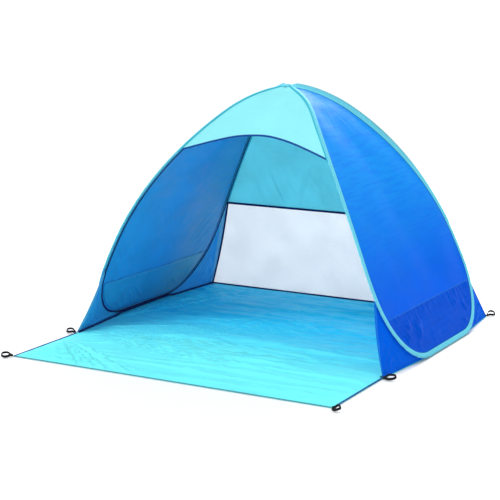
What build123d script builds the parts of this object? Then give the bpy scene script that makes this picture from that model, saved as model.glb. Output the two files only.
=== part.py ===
from build123d import *
import math
import os

# Pop-up beach tent. One spring-steel wire is bent into a figure of eight: it makes a hoop on each side
# and crosses itself at the crown. Both hoops lie where two barrel-shaped surfaces meet. One surface has
# the arch of the front view and carries the side panels. The other has the outline of the side view and
# carries the front awning and the back wall. Millimetres, +Z up, the doorway faces -Y, and the origin is
# on the ground in the middle of the tent's box. Only the right half and the rear half are drawn: the
# left and the front are mirror images.

os.makedirs("parts", exist_ok=True)

# ---- overall sizes ----
height = 1100
floor_width = 1500
floor_depth = 1200  # under the tent, between the middle and the rear corners
porch_depth = 450  # floor in front of the tent

# ---- hoop, seen from the side ----
corner_reach = 100  # floor beyond each end of the hoop
foot_radius = 295
hoop_crown_radius = 192

# ---- hoop, seen from the front ----
foot_overhang = 43  # of each hoop's foot past the floor's corners, at the ground
side_slope = 66  # degrees from the ground
side_straight = 470
arch_crown_radius = 384
crown_pitch = 7.7  # degrees from level, of both views' curves where they reach the crown

# ---- wire, sleeve and crown ----
wire_radius = 1.5
wire_inset = 8  # from the sleeve's outer edge to the middle of the wire
sleeve_width = 30
sleeve_depth = 12
ferrule_radius = 3
ferrule_length = 40
crimp_clearance = 0.1
crown_gap = 30  # from the crown to the end of each hoop sleeve
wire_end_gap = 22  # from the crown to the end of each hoop wire
tie_radius = 14
tie_length = 44

# ---- cloth ----
cloth = 1.0  # thickness of every sheet
seam_gap = 0.5  # between pieces that are sewn together
tape_width = 10
pocket_height = 200
lining_gap = 3  # from the side panel in to its tape and its pocket
window_height = 450  # top of the mesh and of the rear corner skirts
front_skirt_height = 335
awning_drop = 285  # from the crown down to where the awning's free edge meets the hoops
awning_rise = 82  # of the free edge, in the middle
wall_inset = 12  # from the hoop's middle line to the awning and the back wall
floor_bulge = 20  # of the floor's side edges towards the hoop feet

# ---- peg loops ----
webbing = 1.5
webbing_width = 15
eye_radius = 12
tab_length = 20
corner_turn = 60  # degrees from the X axis, of the front and rear corner loops

# ---- places that follow ----
half_width = floor_width / 2
rear_y = (porch_depth + floor_depth) / 2
front_y = -rear_y
middle_y = front_y + porch_depth
crown_y = (middle_y + rear_y) / 2
hoop_reach = floor_depth / 2 - corner_reach  # half of the hoop's greatest depth
foot_spread = half_width + foot_overhang  # half of the width over the two feet
awning_end_height = height - awning_drop
beyond = 2 * (height + floor_width)  # reaches past every piece that it cuts
side_plane = Plane(origin=(0, crown_y, 0), x_dir=(0, 1, 0), z_dir=(1, 0, 0))
front_plane = Plane(origin=(0, crown_y, 0), x_dir=(1, 0, 0), z_dir=(0, -1, 0))
crown_mirror = Plane(origin=(0, crown_y, 0), x_dir=(1, 0, 0), z_dir=(0, 1, 0))
panel_inset = sleeve_width + seam_gap
tape_inset = panel_inset + tape_width
lining_middle = -lining_gap - cloth / 2
crown_cut = tie_length / 2 + seam_gap
tape_z = cloth + seam_gap


# ---- the two outlines, each as its half from the ground to the crown ----
def smooth_rise(start, heading, crown, crown_radius):
    """Radius and sweep of the arc that leaves start at a heading and runs smoothly into the crown's arc."""
    inward = Vector(-heading.Y, heading.X)
    pitch = math.radians(crown_pitch)
    crown_middle = crown - Vector(math.sin(pitch), math.cos(pitch)) * crown_radius
    reach = start - crown_middle
    radius = (crown_radius**2 - reach.length**2) / (2 * (reach.dot(inward) + crown_radius))
    sweep = (inward * -1).get_angle(crown_middle - start - inward * radius)
    return radius, sweep


def half_outline(inset):
    """The side view's outline, moved in by inset, with the middle of the hoop at zero."""
    side_of_hoop = Vector(hoop_reach, foot_radius)
    flank_radius, flank_sweep = smooth_rise(
        side_of_hoop, Vector(0, 1), Vector(0, height), hoop_crown_radius
    )
    with BuildLine(mode=Mode.PRIVATE) as half:
        base = Line((0, inset), (hoop_reach - foot_radius, inset))
        foot = JernArc(base @ 1, base % 1, foot_radius - inset, 90)
        flank = JernArc(foot @ 1, foot % 1, flank_radius - inset, flank_sweep)
        TangentArc(flank @ 1, (0, height - inset), tangent=flank % 1)
    return half.line


def half_arch():
    """The front view's arch, along the middle of the side panel. Its leg starts below the ground."""
    crown = Vector(0, height - sleeve_depth / 2)
    with BuildLine(mode=Mode.PRIVATE) as half:
        leg = PolarLine((foot_spread, 0), tape_inset, -side_slope, mode=Mode.PRIVATE)
        side = PolarLine(leg @ 1, tape_inset + side_straight, 180 - side_slope)
        shoulder_radius, shoulder_sweep = smooth_rise(side @ 1, side % 1, crown, arch_crown_radius)
        shoulder = JernArc(side @ 1, side % 1, shoulder_radius, shoulder_sweep)
        TangentArc(shoulder @ 1, crown, tangent=shoulder % 1)
    return half.line


arch = half_arch()
wire_outline = half_outline(wire_inset)


def across_at(curve, level):
    """How far from the middle a half outline passes a height."""
    edge = [run for run in curve.edges() if (run @ 0).Y <= level < (run @ 1).Y][0]
    low, high = 0.0, 1.0
    while high - low > 1e-7:
        share = (low + high) / 2
        if (edge @ share).Y < level:
            low = share
        else:
            high = share
    return (edge @ low).X


def on_hoop(across, level):
    """The point of the right rear hoop's middle line at a place on the side view's outline."""
    return Vector(across_at(arch, level), crown_y + across, level)


# ---- faces that the cloth is cut from ----
with BuildSketch() as side_face:
    with BuildLine():
        add(half_outline(0))
        mirror(about=Plane.YZ)
    make_face()

with BuildSketch() as arch_face:
    with BuildLine():
        add(arch)
        mirror(about=Plane.YZ)
        leg = arch.vertices().sort_by(Axis.Y)[0]
        Line((-leg.X, leg.Y), (leg.X, leg.Y))
    make_face()


def moved_in(face, distance):
    """A face with its edge moved in by a distance, or out by a negative one."""
    with BuildSketch(mode=Mode.PRIVATE) as moved:
        add(face)
        offset(amount=-distance, kind=Kind.INTERSECTION, mode=Mode.REPLACE)
    return moved.sketch


def ring(face, outer, inner):
    """The strip of a face between two distances in from its edge."""
    with BuildSketch(mode=Mode.PRIVATE) as strip:
        add(moved_in(face, outer) if outer else face)
        add(moved_in(face, inner), mode=Mode.SUBTRACT)
    return strip.sketch


def above(face, level):
    """The part of a face above a height."""
    with BuildSketch(mode=Mode.PRIVATE) as upper:
        add(face)
        with Locations((0, level)):
            Rectangle(beyond, beyond, align=(Align.CENTER, Align.MAX), mode=Mode.SUBTRACT)
    return upper.sketch


side = side_face.sketch
front = arch_face.sketch
hoop_strip = ring(side, 0, sleeve_width)
channel_strip = ring(side, cloth, sleeve_width - cloth)
panel_shape = moved_in(side, panel_inset)
tape_strip = ring(side, panel_inset, tape_inset)
pocket_shape = moved_in(side, tape_inset + seam_gap)
wall_strip = ring(side, wire_inset - cloth / 2, wire_inset + cloth / 2)
sleeve_band = ring(front, -sleeve_depth / 2, sleeve_depth / 2)
channel_band = ring(front, cloth - sleeve_depth / 2, sleeve_depth / 2 - cloth)
panel_band = ring(front, -cloth / 2, cloth / 2)
lining_band = ring(front, -lining_middle - cloth / 2, -lining_middle + cloth / 2)
wall_shape = moved_in(front, wall_inset)

pieces = {}


def keep(name, part):
    """Labels a finished piece and puts it on the list to write."""
    part.label = name
    pieces[name] = part


def keep_both_sides(name, part):
    """Keeps a piece of the right side, and its mirror image on the left."""
    keep(f"{name}_right", part)
    with BuildPart() as left:
        add(part)
        mirror(about=Plane.YZ, mode=Mode.REPLACE)
    keep(f"{name}_left", left.part)


# ---- hoop wires and ferrules ----
foot_point = on_hoop(0, wire_inset)
hoop_points = [foot_point + Vector(0, crimp_clearance, 0)]
for run, steps in zip(wire_outline.edges(), (1, 8, 12, 3)):
    for step in range(1, steps + 1):
        spot = run @ (step / steps)
        if across_at(arch, spot.Y - crimp_clearance) > wire_end_gap:
            hoop_points.append(on_hoop(spot.X, spot.Y))

bend_radii = []
for before, here, after in zip(hoop_points, hoop_points[1:], hoop_points[2:]):
    run_in = here - before
    run_out = after - here
    half_turn = math.radians(run_in.get_angle(run_out)) / 2
    bend_radii.append(0.45 * min(run_in.length, run_out.length) / math.tan(half_turn))
print("wire bends:", [round(radius) for radius in bend_radii])

with BuildPart() as rear_wire:
    with BuildLine() as wire_path:
        FilletPolyline(*hoop_points, radius=bend_radii)
    with BuildSketch(Plane(origin=wire_path.line @ 0, z_dir=wire_path.line % 0)):
        Circle(wire_radius)
    sweep()
keep_both_sides("hoop_wire_rear", rear_wire.part)

with BuildPart() as front_wire:
    add(rear_wire.part)
    mirror(about=crown_mirror, mode=Mode.REPLACE)
keep_both_sides("hoop_wire_front", front_wire.part)

with BuildPart() as ferrule:
    with BuildSketch(Plane(origin=foot_point, z_dir=(0, 1, 0))):
        Circle(ferrule_radius)
        Circle(wire_radius + crimp_clearance, mode=Mode.SUBTRACT)
    extrude(amount=ferrule_length / 2, both=True)
keep_both_sides("hoop_ferrule", ferrule.part)

# ---- crown: the wire crossing inside its tie ----
crown_z = height - tie_radius
crossing_reach = tie_radius - cloth - wire_radius - crimp_clearance

with BuildPart() as crown_tie:
    with BuildSketch(Plane(origin=(0, crown_y, crown_z), z_dir=(0, 1, 0))):
        Circle(tie_radius)
        Circle(tie_radius - cloth, mode=Mode.SUBTRACT)
    extrude(amount=tie_length / 2, both=True)
keep("crown_tie", crown_tie.part)

with BuildPart() as crown_crossing:
    for side_sign in (1, -1):
        lift = Vector(0, 0, side_sign * 2 * wire_radius)
        start = Vector(-crossing_reach, -side_sign * crossing_reach, 0)
        run = start * -2
        with BuildSketch(Plane(origin=Vector(0, crown_y, crown_z) + lift + start, z_dir=run)):
            Circle(wire_radius)
        extrude(amount=run.length)
keep("crown_wire_crossing", crown_crossing.part)

# ---- side: sleeve, panel, pocket and the tape inside ----
with BuildPart() as sleeve:
    with BuildSketch(side_plane.offset(crown_gap)):
        add(hoop_strip)
    extrude(amount=foot_spread)
    with BuildSketch(front_plane):
        add(sleeve_band)
    extrude(amount=beyond, both=True, mode=Mode.INTERSECT)
with BuildPart() as channel:
    with BuildSketch(side_plane):
        add(channel_strip)
    extrude(amount=foot_spread + sleeve_depth)
    with BuildSketch(front_plane):
        add(channel_band)
    extrude(amount=beyond, both=True, mode=Mode.INTERSECT)
with BuildPart() as hoop_sleeve:
    add(sleeve.part)
    add(channel.part, mode=Mode.SUBTRACT)
keep_both_sides("hoop_sleeve", hoop_sleeve.part)

for name, shape, band in (
    ("side_panel", panel_shape, panel_band),
    ("side_tape", tape_strip, lining_band),
    ("side_pocket", pocket_shape, lining_band),
):
    with BuildPart() as sheet:
        with BuildSketch(side_plane.offset(crown_gap)):
            add(shape)
            if name == "side_pocket":
                with Locations((0, pocket_height)):
                    Rectangle(beyond, beyond, align=(Align.CENTER, Align.MIN), mode=Mode.SUBTRACT)
        extrude(amount=foot_spread)
        with BuildSketch(front_plane):
            add(band)
        extrude(amount=beyond, both=True, mode=Mode.INTERSECT)
    keep_both_sides(name, sheet.part)

# ---- corner skirts: flat triangles from the hoop to the floor's corners ----
def hoop_point(level):
    """The place of the rear wire at a height."""
    return on_hoop(across_at(wire_outline, level), level)


def corner_skirt(top_height):
    """The sheet from the rear corner of the floor to the hoop below a height."""
    foot = on_hoop(hoop_reach - foot_radius, wire_inset)
    corner = Vector(half_width, rear_y, tape_z)
    top = hoop_point(top_height)
    plane = Plane(origin=corner, x_dir=foot - corner, z_dir=(foot - corner).cross(top - corner))
    with BuildPart() as skirt:
        with BuildSketch(plane):
            with BuildLine():
                Polyline(*[plane.to_local_coords(point) for point in (corner, foot, top)], close=True)
            make_face()
            offset(amount=-wire_inset / 2, kind=Kind.INTERSECTION, mode=Mode.REPLACE)
        extrude(amount=cloth / 2, both=True)
        with BuildSketch(side_plane):
            add(moved_in(side, -seam_gap))
        extrude(amount=beyond, mode=Mode.SUBTRACT)
    return skirt.part


keep_both_sides("rear_skirt", corner_skirt(window_height))

with BuildPart() as front_skirt:
    add(corner_skirt(front_skirt_height))
    mirror(about=crown_mirror, mode=Mode.REPLACE)
keep_both_sides("front_skirt", front_skirt.part)

# ---- front awning ----
awning_half = across_at(arch, awning_end_height) - wall_inset
awning_points = (
    (-awning_half, awning_end_height),
    (0, awning_end_height + awning_rise),
    (awning_half, awning_end_height),
)


def awning_cut(face, low, high):
    """The part of a face between two heights over the awning's free edge."""
    with BuildSketch(mode=Mode.PRIVATE) as kept:
        with BuildLine():
            edge = ThreePointArc(*[(x, y + low) for x, y in awning_points])
            if high is None:
                Polyline(edge @ 1, (half_width, awning_end_height), (half_width, beyond),
                         (-half_width, beyond), (-half_width, awning_end_height), edge @ 0)
            else:
                top = ThreePointArc(*[(x, y + high) for x, y in awning_points])
                Line(edge @ 0, top @ 0)
                Line(edge @ 1, top @ 1)
        make_face()
        add(face, mode=Mode.INTERSECT)
    return kept.sketch


for name, low, high in (("awning", tape_width + seam_gap, None), ("awning_edge_tape", 0, tape_width)):
    with BuildPart() as sheet:
        with BuildSketch(front_plane.offset(crown_cut)):
            add(awning_cut(wall_shape, low, high))
        extrude(amount=hoop_reach)
        with BuildSketch(side_plane):
            add(wall_strip)
        extrude(amount=beyond, both=True, mode=Mode.INTERSECT)
    keep(name, sheet.part)

# ---- back wall: cloth above, mesh window below ----
with BuildPart() as back_wall:
    with BuildSketch(front_plane.offset(-crown_cut)):
        add(above(wall_shape, window_height + seam_gap))
    extrude(amount=-hoop_reach)
    with BuildSketch(side_plane):
        add(wall_strip)
    extrude(amount=beyond, both=True, mode=Mode.INTERSECT)
keep("back_wall", back_wall.part)

sill = Vector(0, rear_y, tape_z)
window_corner = hoop_point(window_height)
window_rise = Vector(0, window_corner.Y, window_height) - sill
window_plane = Plane(origin=sill, x_dir=(-1, 0, 0), z_dir=window_rise.cross(Vector(1, 0, 0)))
top_half = window_corner.X - wall_inset


def window_half(share):
    """Half of the window's width at a share of its height."""
    return half_width + (top_half - half_width) * share


def window_sheet(outer, low, high, strip=None):
    """A sheet in the window's plane between two heights, a distance in from the window's sides.

    It spans the window, or is a strip of the given width along the right side.
    """
    low_edge = window_half(low / window_rise.length) - outer
    high_edge = window_half(high / window_rise.length) - outer
    with BuildPart() as sheet:
        with BuildSketch(window_plane):
            with BuildLine():
                Polyline(
                    (low_edge, low),
                    (high_edge, high),
                    (high_edge - strip if strip else -high_edge, high),
                    (low_edge - strip if strip else -low_edge, low),
                    close=True,
                )
            make_face()
        extrude(amount=cloth / 2, both=True)
    return sheet.part


window_top = window_rise.length - seam_gap
mesh_low = tape_width
mesh_high = window_top - tape_width - seam_gap
keep("window_mesh", window_sheet(tape_width + seam_gap, mesh_low, mesh_high))
keep("window_top_tape", window_sheet(0, window_top - tape_width, window_top))
keep_both_sides("window_side_tape", window_sheet(0, mesh_low, mesh_high, strip=tape_width))

# ---- floor ----
with BuildPart() as floor_sheet:
    with BuildSketch():
        with BuildLine():
            ThreePointArc(
                (half_width, rear_y), (half_width + floor_bulge, crown_y), (half_width, middle_y)
            )
            Polyline(
                (half_width, middle_y), (half_width, front_y), (-half_width, front_y), (-half_width, middle_y)
            )
            ThreePointArc(
                (-half_width, middle_y), (-half_width - floor_bulge, crown_y), (-half_width, rear_y)
            )
            Line((-half_width, rear_y), (half_width, rear_y))
        make_face()
    extrude(amount=cloth)
keep("floor_sheet", floor_sheet.part)

with BuildPart() as floor_side_tape:
    with BuildSketch(Plane.XY.offset(tape_z)):
        with BuildLine():
            outer_arc = ThreePointArc(
                (half_width, rear_y - 2 * tape_width),
                (half_width + floor_bulge, crown_y),
                (half_width, middle_y + 2 * tape_width),
            )
            inner_arc = ThreePointArc(
                (half_width - tape_width, rear_y - 2 * tape_width),
                (half_width + floor_bulge - tape_width, crown_y),
                (half_width - tape_width, middle_y + 2 * tape_width),
            )
            Line(outer_arc @ 0, inner_arc @ 0)
            Line(outer_arc @ 1, inner_arc @ 1)
        make_face()
    extrude(amount=cloth)
keep_both_sides("floor_side_tape", floor_side_tape.part)

with BuildPart() as porch_side_hem:
    with Locations((half_width - tape_width / 2, (front_y + middle_y) / 2, tape_z)):
        Box(tape_width, porch_depth, cloth, align=(Align.CENTER, Align.CENTER, Align.MIN))
keep_both_sides("porch_side_hem", porch_side_hem.part)

for name, strip_y in (
    ("porch_front_hem", front_y + tape_width / 2),
    ("floor_rear_tape", rear_y - 2 * seam_gap - tape_width / 2),
):
    with BuildPart() as strip:
        with Locations((0, strip_y, tape_z)):
            Box(
                floor_width - 2 * tape_width - 2 * seam_gap,
                tape_width,
                cloth,
                align=(Align.CENTER, Align.CENTER, Align.MIN),
            )
    keep(name, strip.part)

# ---- peg loops of folded webbing, standing on edge ----
for name, corner_y, turn in (
    ("peg_loop_front", front_y, -corner_turn),
    ("peg_loop_middle", middle_y, 0),
    ("peg_loop_rear", rear_y, corner_turn),
):
    with BuildPart() as peg_loop:
        with BuildSketch(Plane((half_width, corner_y, 0)).rotated((0, 0, turn))):
            with Locations((seam_gap + tab_length / 2, 0)):
                Rectangle(tab_length, 2 * webbing)
            with Locations((seam_gap + tab_length + eye_radius, 0)):
                Circle(eye_radius + webbing)
                Circle(eye_radius, mode=Mode.SUBTRACT)
        extrude(amount=webbing_width)
    keep_both_sides(name, peg_loop.part)

# ---- write every piece ----
for name, part in pieces.items():
    export_step(part, f"parts/{name}.step")
print(len(pieces), "pieces")
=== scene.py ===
import math

import bpy
import numpy as np
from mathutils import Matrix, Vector


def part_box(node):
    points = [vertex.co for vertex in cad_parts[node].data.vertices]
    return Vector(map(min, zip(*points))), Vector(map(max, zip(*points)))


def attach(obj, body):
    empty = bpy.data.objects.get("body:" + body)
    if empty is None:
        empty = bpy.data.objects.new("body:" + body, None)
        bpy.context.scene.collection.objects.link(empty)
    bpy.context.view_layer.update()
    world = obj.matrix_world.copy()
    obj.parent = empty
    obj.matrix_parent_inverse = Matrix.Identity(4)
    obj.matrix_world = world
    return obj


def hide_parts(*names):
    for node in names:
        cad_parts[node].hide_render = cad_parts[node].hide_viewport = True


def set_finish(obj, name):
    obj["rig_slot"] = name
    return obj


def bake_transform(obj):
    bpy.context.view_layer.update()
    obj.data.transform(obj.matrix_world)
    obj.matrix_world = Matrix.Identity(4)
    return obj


# Pop-up beach tent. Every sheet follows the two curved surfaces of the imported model: the arch of the
# front view, which carries the side panels, and the outline of the side view, which carries the awning
# and the back wall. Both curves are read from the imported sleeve. Metres, +Z up, the doorway faces -Y.

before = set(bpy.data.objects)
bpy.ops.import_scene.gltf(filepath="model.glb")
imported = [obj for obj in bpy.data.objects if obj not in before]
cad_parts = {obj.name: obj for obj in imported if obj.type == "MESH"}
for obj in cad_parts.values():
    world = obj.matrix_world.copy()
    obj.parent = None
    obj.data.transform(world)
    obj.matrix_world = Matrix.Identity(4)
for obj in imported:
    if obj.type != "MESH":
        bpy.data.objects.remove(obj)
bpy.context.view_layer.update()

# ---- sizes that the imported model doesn't say by itself ----
SLEEVE_HALF_DEPTH = 0.006
WIRE_INSET = 0.008
CLOTH = 0.0006
TAPE_THICK = 0.0012

CROWN_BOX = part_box("crown_tie")
CROWN = (CROWN_BOX[0] + CROWN_BOX[1]) / 2
CROWN_Y = CROWN.y
CROWN_TOP = CROWN_BOX[1].z
FLOOR_LOW, FLOOR_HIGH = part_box("floor_sheet")
MIDDLE_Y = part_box("porch_side_hem_right")[1].y
HALF_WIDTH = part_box("porch_side_hem_right")[1].x
WINDOW_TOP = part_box("back_wall")[0].z
POCKET_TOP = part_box("side_pocket_right")[1].z
AWNING_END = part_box("awning_edge_tape")[0].z
TAPE_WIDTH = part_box("porch_front_hem")[1].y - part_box("porch_front_hem")[0].y
AWNING_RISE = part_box("awning_edge_tape")[1].z - TAPE_WIDTH - AWNING_END


# ---- curves of the hoops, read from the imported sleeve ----
def node_points(name):
    """A CAD node's points at rest, as an array."""
    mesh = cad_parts[name].data
    points = np.zeros(len(mesh.vertices) * 3, np.float32)
    mesh.vertices.foreach_get("co", points)
    return points.reshape(-1, 3).astype(float)


def hull(points):
    """The convex hull of 2-D points, anticlockwise."""
    ordered = sorted(set(map(tuple, np.round(points, 5))))

    def chain(run):
        kept = []
        for p in run:
            while len(kept) > 1:
                a, b = kept[-2], kept[-1]
                if (b[0] - a[0]) * (p[1] - a[1]) - (b[1] - a[1]) * (p[0] - a[0]) > 0:
                    break
                kept.pop()
            kept.append(p)
        return kept[:-1]

    return np.array(chain(ordered) + chain(ordered[::-1]))


def lengths(line):
    """How far along a line each of its points is."""
    steps = np.linalg.norm(np.diff(line, axis=0), axis=1)
    return np.concatenate([[0], np.cumsum(steps)])


def evenly(line, count):
    """The line again, with count points at even distances."""
    along = lengths(line)
    at = np.linspace(0, along[-1], count)
    return np.stack([np.interp(at, along, line[:, k]) for k in range(line.shape[1])], axis=1)


def smoothed(line, passes):
    """The line with its small corners rounded, and its ends kept."""
    line = line.copy()
    for _ in range(passes):
        line[1:-1] = (line[:-2] + 2 * line[1:-1] + line[2:]) / 4
    return line


def moved(line, distance):
    """A 2-D line moved to its left by a distance."""
    along = np.gradient(line, axis=0)
    along /= np.linalg.norm(along, axis=1)[:, None]
    return line + distance * np.stack([-along[:, 1], along[:, 0]], axis=1)


sleeve_points = node_points("hoop_sleeve_right")
front_hull = hull(sleeve_points[:, [0, 2]])
first = int(np.argmax(front_hull[:, 0]))
last = int(np.argmax(front_hull[:, 1] - 1e-4 * front_hull[:, 0]))
front_hull = np.roll(front_hull, -first, axis=0)[: (last - first) % len(front_hull) + 1]
arch = moved(smoothed(evenly(front_hull, 600), 40), SLEEVE_HALF_DEPTH)
top_run = arch[-1] - arch[-2]
arch = np.vstack([arch, arch[-1] - top_run * arch[-1, 0] / top_run[0]])
arch = evenly(arch, 700)
arch_along = lengths(arch)
arch_along -= np.interp(0, arch[:, 1], arch_along)

side_points = np.column_stack([sleeve_points[:, 1] - CROWN_Y, sleeve_points[:, 2]])
side_hull = hull(np.vstack([side_points, [(0, CROWN_TOP)]]))
side_hull = np.roll(side_hull, -int(np.argmin(side_hull[:, 1] - 1e-4 * side_hull[:, 0])), axis=0)
top = int(np.argmax(side_hull[:, 1]))
outline = np.vstack([[(0, side_hull[0, 1])], side_hull[: top + 1]])
outline = smoothed(evenly(outline, 700), 30)
wire_line = moved(outline, WIRE_INSET)
wire_line[[0, -1], 0] = 0


def arch_at(height):
    """How far from the middle the arch is at a height."""
    return np.interp(height, arch[:, 1], arch[:, 0])


def arch_rise(height):
    """The length along the arch from the ground to a height."""
    return np.interp(height, arch[:, 1], arch_along)


def wire_reach(height):
    """How far the hoop's wire is from the crown's plane, front or back, at a height above its feet."""
    upper = wire_line[np.argmax(wire_line[:, 0]):]
    return np.interp(height, upper[:, 1], upper[:, 0])


def on_arch(across, rise, out=0.0):
    """Points of the right side's surface from its unrolled plane, moved out along its normal."""
    slope = np.gradient(arch, arch_along, axis=0)
    x, z, dx, dz = (np.interp(rise, arch_along, c) for c in (*arch.T, *slope.T))
    size = np.hypot(dx, dz)
    return np.stack([x + out * dz / size, CROWN_Y + across, z - out * dx / size], axis=-1)


# The hoop's wire in the unrolled plane of the side panel: from the crown down the rear, round the foot
# and up the front.
rear_half = np.column_stack([wire_line[:, 0], arch_rise(wire_line[:, 1])])[::-1]
hoop = np.vstack([rear_half, (rear_half * (-1, 1))[::-1][1:]])


# ---- folds of cloth ----
def waves(u, v, seed, short, long, turn=0.0, spread=math.pi, count=14):
    """Smooth random waves between two lengths in metres, of about unit height."""
    rng = np.random.default_rng(seed)
    total = np.zeros(np.broadcast(u, v).shape)
    for _ in range(count):
        length = short * (long / short) ** rng.random()
        angle = turn + spread * (rng.random() * 2 - 1)
        phase = rng.random() * 2 * math.pi
        total = total + np.cos(2 * math.pi * (u * math.cos(angle) + v * math.sin(angle)) / length + phase)
    return total / math.sqrt(count / 2)


def creases(u, v, seed, short, long, turn=0.0, spread=0.3, sharp=0.4, patch=0.4):
    """Long narrow ridges that come and go, from 0 to 1."""
    ridge = np.exp(-((waves(u, v, seed, short, long, turn, spread) / sharp) ** 2))
    mask = np.clip(waves(u, v, seed + 1, patch * 0.6, patch * 1.6) * 0.6 + 0.4, 0, 1)
    return ridge * mask


def ease(x, low, high):
    """0 below low, 1 above high, and smooth between."""
    t = np.clip((x - low) / (high - low), 0, 1)
    return t * t * (3 - 2 * t)


def bump_at(x, middle, width):
    return np.exp(-(((x - middle) / width) ** 2))


# ---- meshes ----
def grid_object(name, points, flat, loop_rows=False, loop_columns=False, shade=None, closed_middle=False):
    """A sheet through rows of points. flat is each point's place on the flat cloth, in metres."""
    rows, columns = points.shape[:2]
    index = np.arange(rows * columns).reshape(rows, columns)
    down = index if loop_rows else index[:-1]
    below = np.roll(index, -1, axis=0) if loop_rows else index[1:]
    if loop_columns:
        quads = np.stack([down, np.roll(down, -1, 1), np.roll(below, -1, 1), below], axis=-1)
    else:
        quads = np.stack([down[:, :-1], down[:, 1:], below[:, 1:], below[:, :-1]], axis=-1)
    faces = quads.reshape(-1, 4).tolist()
    if closed_middle:
        faces.append(index[-1].tolist())
    mesh = bpy.data.meshes.new(name)
    mesh.from_pydata(points.reshape(-1, 3).tolist(), [], faces)
    layer = mesh.attributes.new("cloth_place", "FLOAT_VECTOR", "POINT")
    place = np.zeros((rows * columns, 3), np.float32)
    place[:, :2] = np.asarray(flat).reshape(-1, 2)
    if shade is not None:
        place[:, 2] = np.asarray(shade).ravel()
    layer.data.foreach_set("vector", place.ravel())
    mesh.polygons.foreach_set("use_smooth", np.ones(len(faces), bool))
    obj = bpy.data.objects.new(name, mesh)
    bpy.context.scene.collection.objects.link(obj)
    mesh.update()
    return obj


def thicken(obj, thickness=CLOTH, lining=False):
    """Gives a sheet its thickness on its inner side, and the lining's material there."""
    solid = obj.modifiers.new("thickness", "SOLIDIFY")
    solid.thickness = thickness
    solid.offset = -1
    if lining:
        solid.material_offset = 1
    return obj


def unit(v):
    return v / np.maximum(np.linalg.norm(v, axis=-1, keepdims=True), 1e-12)


def ribbon(name, path, across, up, width, thickness, closed=False):
    """A flat strip with soft edges along a path. across and up are directions at each point."""
    profile = [
        (-0.5, 0), (-0.46, 0.5), (0, 0.56), (0.46, 0.5),
        (0.5, 0), (0.46, -0.5), (0, -0.56), (-0.46, -0.5),
    ]
    across = unit(np.broadcast_to(across, path.shape)) * width
    up = unit(np.broadcast_to(up, path.shape)) * thickness
    points = np.stack([path + across * a + up * b for a, b in profile], axis=1)
    along = lengths(path)
    flat = np.stack([np.stack([along, np.full(len(path), a * width)], axis=1) for a, _ in profile], axis=1)
    obj = grid_object(name, points, flat, loop_rows=closed, loop_columns=True)
    if not closed:
        cap_ends(obj, len(path), len(profile))
    return obj


def strip(name, start, end, count, across, up, width, thickness):
    """A straight ribbon between two points."""
    return ribbon(name, evenly(np.array([start, end]), count), across, up, width, thickness)


def cap_ends(obj, rows, columns):
    """Closes both ends of a tube."""
    mesh = obj.data
    old = [list(p.vertices) for p in mesh.polygons]
    faces = old + [list(range(columns))[::-1], list(range((rows - 1) * columns, rows * columns))]
    points = [v.co[:] for v in mesh.vertices]
    place = np.zeros(len(points) * 3, np.float32)
    mesh.attributes["cloth_place"].data.foreach_get("vector", place)
    mesh.clear_geometry()
    mesh.from_pydata(points, [], faces)
    layer = mesh.attributes.get("cloth_place") or mesh.attributes.new("cloth_place", "FLOAT_VECTOR", "POINT")
    layer.data.foreach_set("vector", place)
    mesh.polygons.foreach_set("use_smooth", np.ones(len(faces), bool))
    mesh.update()


def mirrored(obj, name):
    """The left side's copy of a right side's piece, with its faces turned the right way out."""
    copy = bpy.data.objects.new(name, obj.data.copy())
    bpy.context.scene.collection.objects.link(copy)
    for v in copy.data.vertices:
        v.co.x = -v.co.x
    copy.data.flip_normals()
    for m in obj.modifiers:
        new = copy.modifiers.new(m.name, m.type)
        new.thickness, new.offset, new.material_offset = m.thickness, m.offset, m.material_offset
    return copy


def blend_over_tent(obj, share):
    """Works out each point's weight between the two sides from its share of the way across, from -1 to 1,
    then puts the points back as they were.
    """
    rest = np.zeros(len(obj.data.vertices) * 3, np.float32)
    obj.data.vertices.foreach_get("co", rest)
    side = (np.clip(np.asarray(share).ravel(), -1, 1) + 1) / 2
    place = 0.5 - np.sin(np.arcsin(1 - 2 * side) / 3)
    line = np.zeros((len(side), 3), np.float32)
    line[:, 0] = place * 2 - 1
    obj.data.vertices.foreach_set("co", line.ravel())
    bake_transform(obj)
    obj.data.vertices.foreach_set("co", rest)
    obj.data.update()


def share_of(obj):
    """Each point's share of the way across the tent at its own height."""
    points = np.array([v.co[:] for v in obj.data.vertices])
    return points[:, 0] / np.maximum(np.minimum(arch_at(points[:, 2]), HALF_WIDTH), 0.02)


# ---- materials ----
def linear(colour):
    """A colour given as 0 to 255 screen values."""
    c = np.array(colour) / 255
    return (*np.where(c <= 0.04045, c / 12.92, ((c + 0.055) / 1.055) ** 2.4), 1)


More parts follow.
